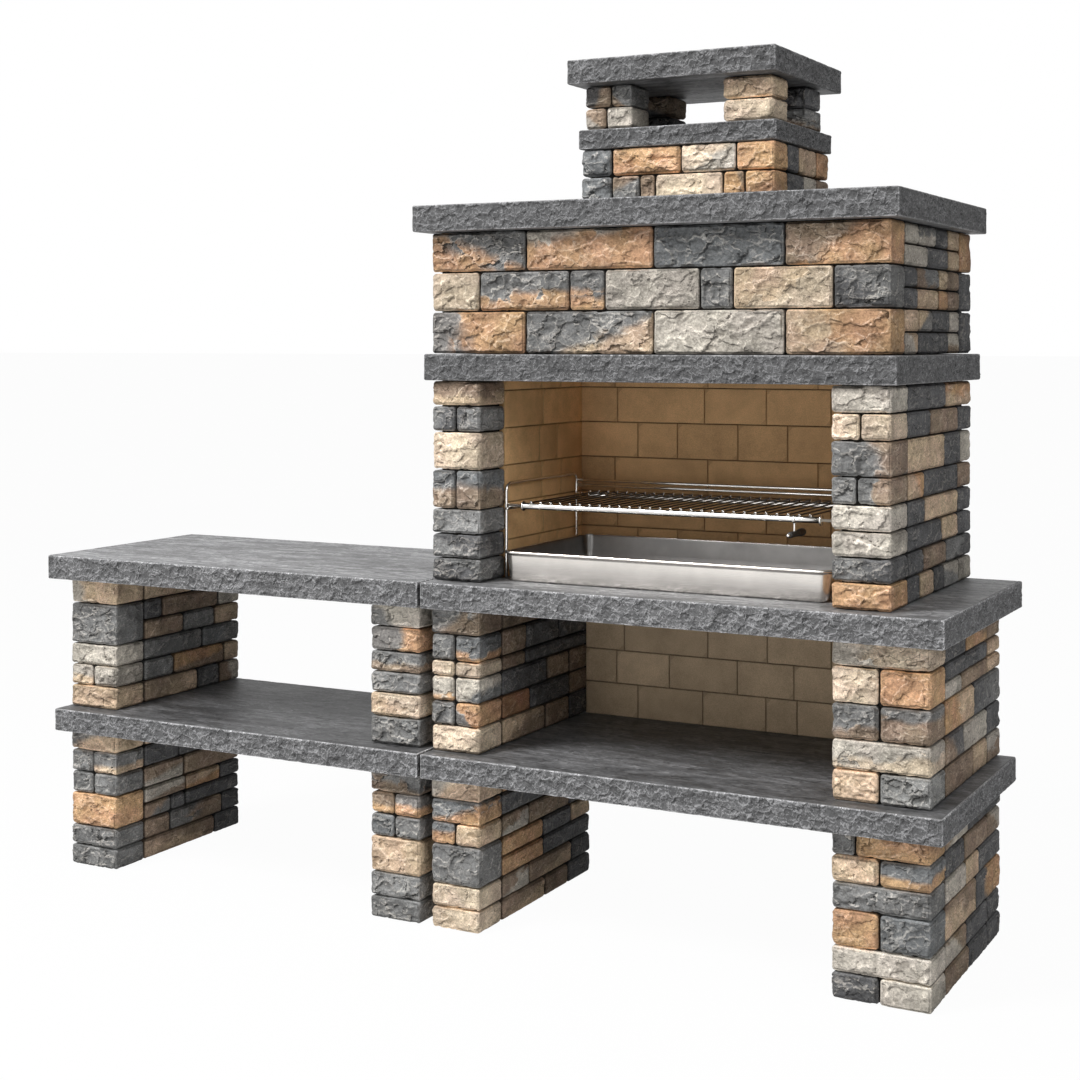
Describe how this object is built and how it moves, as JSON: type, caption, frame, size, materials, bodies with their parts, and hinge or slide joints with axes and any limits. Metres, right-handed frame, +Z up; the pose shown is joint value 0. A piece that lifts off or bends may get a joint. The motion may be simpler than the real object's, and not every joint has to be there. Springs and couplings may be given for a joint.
{
  "type": "stone garden barbecue",
  "caption": "Free-standing garden barbecue of split stone and slate slabs, with a firebrick firebox, charcoal tray, lift-off grate, chimney hood and a side table with a shelf.",
  "frame": {"origin": "middle of the footprint, on the ground", "axes": "+X to the cook's right along the front, +Y from the front to the back, +Z up; the side table is on -X"},
  "size_m": [2.636, 0.797, 2.236],
  "materials": {
    "split_stone": "rock-faced split stone in greys, creams and ochres",
    "slate": "dark slate slab with split edges",
    "firebrick": "matt fired clay",
    "sheet_steel": "satin stainless sheet",
    "steel_bar": "polished stainless bar and wire",
    "grip": "black heat-proof grip"
  },
  "bodies": {
    "barbecue": {"table_outer_pier_lower": "split_stone", "table_outer_pier_upper": "split_stone", "table_inner_pier_lower": "split_stone", "table_inner_pier_upper": "split_stone", "left_pier_lower": "split_stone", "left_pier_upper": "split_stone", "right_pier_lower": "split_stone", "right_pier_upper": "split_stone", "left_cheek": "split_stone", "right_cheek": "split_stone", "back_wall": "split_stone", "hood_lower_course": "split_stone", "hood_middle_course": "split_stone", "hood_upper_course": "split_stone", "chimney_lower_course": "split_stone", "chimney_upper_course": "split_stone", "front_left_post": "split_stone", "front_right_post": "split_stone", "back_left_post": "split_stone", "back_right_post": "split_stone", "table_shelf": "slate", "main_shelf": "slate", "table_top": "slate", "worktop": "slate", "lintel": "slate", "hood_slab": "slate", "chimney_collar": "slate", "chimney_cap": "slate", "back_lining": "firebrick", "left_lining": "firebrick", "right_lining": "firebrick", "compartment_back": "firebrick", "left_hoop": "steel_bar", "right_hoop": "steel_bar", "left_runner": "steel_bar", "right_runner": "steel_bar", "upper_guard_rail": "steel_bar", "lower_guard_rail": "steel_bar"},
    "tray": {"charcoal_tray": "sheet_steel"},
    "grate": {"grate_front_bar": "steel_bar", "grate_back_bar": "steel_bar", "grate_wires": "steel_bar"},
    "grate_handle": {"handle_wire": "steel_bar", "handle_grip": "grip", "handle_tip": "steel_bar"}
  },
  "joints": [
    {"name": "tray_slide", "type": "slide", "parent": "barbecue", "child": "tray", "axis": [0, -1, 0], "range_m": [0, 0.34]},
    {"name": "grate_lift", "type": "slide", "parent": "barbecue", "child": "grate", "axis": [0, 0, 1], "range_m": [0, 0.26]},
    {"name": "handle_hinge", "type": "hinge", "parent": "grate", "child": "grate_handle", "pos_m": [0.905, -0.2305, 1.092], "axis": [-1, 0, 0], "range_deg": [0, 90]}
  ]
}
